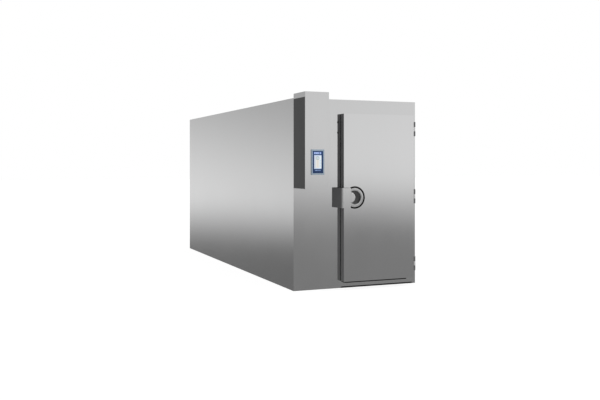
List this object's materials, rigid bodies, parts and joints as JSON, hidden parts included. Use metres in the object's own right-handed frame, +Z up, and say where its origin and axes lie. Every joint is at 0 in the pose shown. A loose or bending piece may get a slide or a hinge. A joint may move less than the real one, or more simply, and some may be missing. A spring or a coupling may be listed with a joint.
{
  "type": "roll-in blast chiller",
  "caption": "Walk-in blast chiller tunnel in brushed steel with one insulated door, a wrap-round handle, a front control column and fans inside.",
  "frame": {"origin": "on the floor, under the middle of the whole machine's outline", "axes": "+Z up; -Y is the front with the door and the column; +X is the door's hinge side"},
  "size_m": [1.705, 5.518, 2.423],
  "materials": {
    "sheet_steel": "brushed sheet",
    "floor_steel": "plain rolled sheet",
    "foam": "rigid foam",
    "dark_frame": "satin",
    "black_rubber": "matt",
    "dark_metal": "satin",
    "hinge_steel": "satin",
    "handle_steel": "brushed",
    "black_plastic": "moulded",
    "grey_metal": "satin paint",
    "galvanised": "zinc coated",
    "grey_plastic": "moulded",
    "board_green": "circuit board",
    "display_frame": "satin",
    "screen": "glossy, lit",
    "wire_steel": "polished",
    "fin_aluminium": "fins",
    "copper": "drawn copper",
    "lamp_white": "opal"
  },
  "bodies": {
    "cabinet": {"slab_cores": "foam", "floor_skins": "floor_steel", "wall_cores": "foam", "left_wall_skins": "sheet_steel", "right_wall_skins": "sheet_steel", "rear_wall_skins": "sheet_steel", "roof_skins": "sheet_steel", "front_core": "foam", "front_skins": "sheet_steel", "relief_valve": "grey_metal", "door_frame": "dark_frame", "sill_plate": "floor_steel", "foot_seal": "black_rubber", "frame_plugs": "black_rubber", "hinge_brackets": "dark_metal", "hinge_pins": "hinge_steel", "hinge_screws": "hinge_steel", "strike_pad": "hinge_steel", "column_cover": "sheet_steel", "column_side_panel": "dark_frame", "column_cap": "sheet_steel", "column_chassis": "galvanised", "contactors": "grey_plastic", "control_board": "board_green", "terminal_rail": "galvanised", "display_housing": "display_frame", "display_glass": "screen", "cable_gland": "black_plastic", "fan_partition": "sheet_steel", "fan_guards": "wire_steel", "fan_motors": "grey_metal", "evaporator_coils": "fin_aluminium", "coil_headers": "copper", "drip_tray": "sheet_steel", "drain_pipe": "grey_plastic", "pipe_stubs": "copper", "guide_rails": "wire_steel", "ceiling_lamps": "lamp_white"},
    "door": {"door_skin": "sheet_steel", "door_edge": "dark_frame", "door_core": "foam", "door_liner": "floor_steel", "door_gasket": "black_rubber", "door_sweep": "black_rubber", "hinge_leaves": "hinge_steel", "handle_cover": "handle_steel", "handle_caps": "dark_metal", "latch_case": "grey_metal", "lever_pin": "hinge_steel", "escutcheon": "handle_steel", "escutcheon_ring": "black_plastic", "finger_recess": "black_plastic"},
    "lever": {"handle_lever": "handle_steel"},
    "plunger": {"push_plunger": "black_plastic"},
    "fan_1": {"impeller_1": "black_plastic"},
    "fan_2": {"impeller_2": "black_plastic"},
    "fan_3": {"impeller_3": "black_plastic"},
    "fan_4": {"impeller_4": "black_plastic"},
    "fan_5": {"impeller_5": "black_plastic"},
    "fan_6": {"impeller_6": "black_plastic"}
  },
  "joints": [
    {"name": "door_hinge", "type": "hinge", "parent": "cabinet", "child": "door", "pos_m": [0.7375, -2.561, 1.135], "axis": [0, 0, 1], "range_deg": [0, 120]},
    {"name": "lever_pivot", "type": "hinge", "parent": "door", "child": "lever", "pos_m": [-0.2775, -2.631, 1.135], "axis": [0, 0, -1], "range_deg": [0, 15], "stiffness_Nm_per_rad": 4, "springref_deg": -17.19},
    {"name": "plunger_slide", "type": "slide", "parent": "door", "child": "plunger", "axis": [0, 1, 0], "range_m": [0, 0.0087]},
    {"name": "fan_spin_1", "type": "hinge", "parent": "cabinet", "child": "fan_1", "pos_m": [-0.3225, -1.876, 1.18], "axis": [1, 0, 0], "continuous": true},
    {"name": "fan_spin_2", "type": "hinge", "parent": "cabinet", "child": "fan_2", "pos_m": [-0.3225, -1.066, 1.18], "axis": [1, 0, 0], "continuous": true},
    {"name": "fan_spin_3", "type": "hinge", "parent": "cabinet", "child": "fan_3", "pos_m": [-0.3225, -0.256, 1.18], "axis": [1, 0, 0], "continuous": true},
    {"name": "fan_spin_4", "type": "hinge", "parent": "cabinet", "child": "fan_4", "pos_m": [-0.3225, 0.554, 1.18], "axis": [1, 0, 0], "continuous": true},
    {"name": "fan_spin_5", "type": "hinge", "parent": "cabinet", "child": "fan_5", "pos_m": [-0.3225, 1.364, 1.18], "axis": [1, 0, 0], "continuous": true},
    {"name": "fan_spin_6", "type": "hinge", "parent": "cabinet", "child": "fan_6", "pos_m": [-0.3225, 2.174, 1.18], "axis": [1, 0, 0], "continuous": true}
  ],
  "couplings": [
    {"joint": "plunger_slide", "follows": "lever_pivot", "m_per_rad": 0.0325}
  ]
}
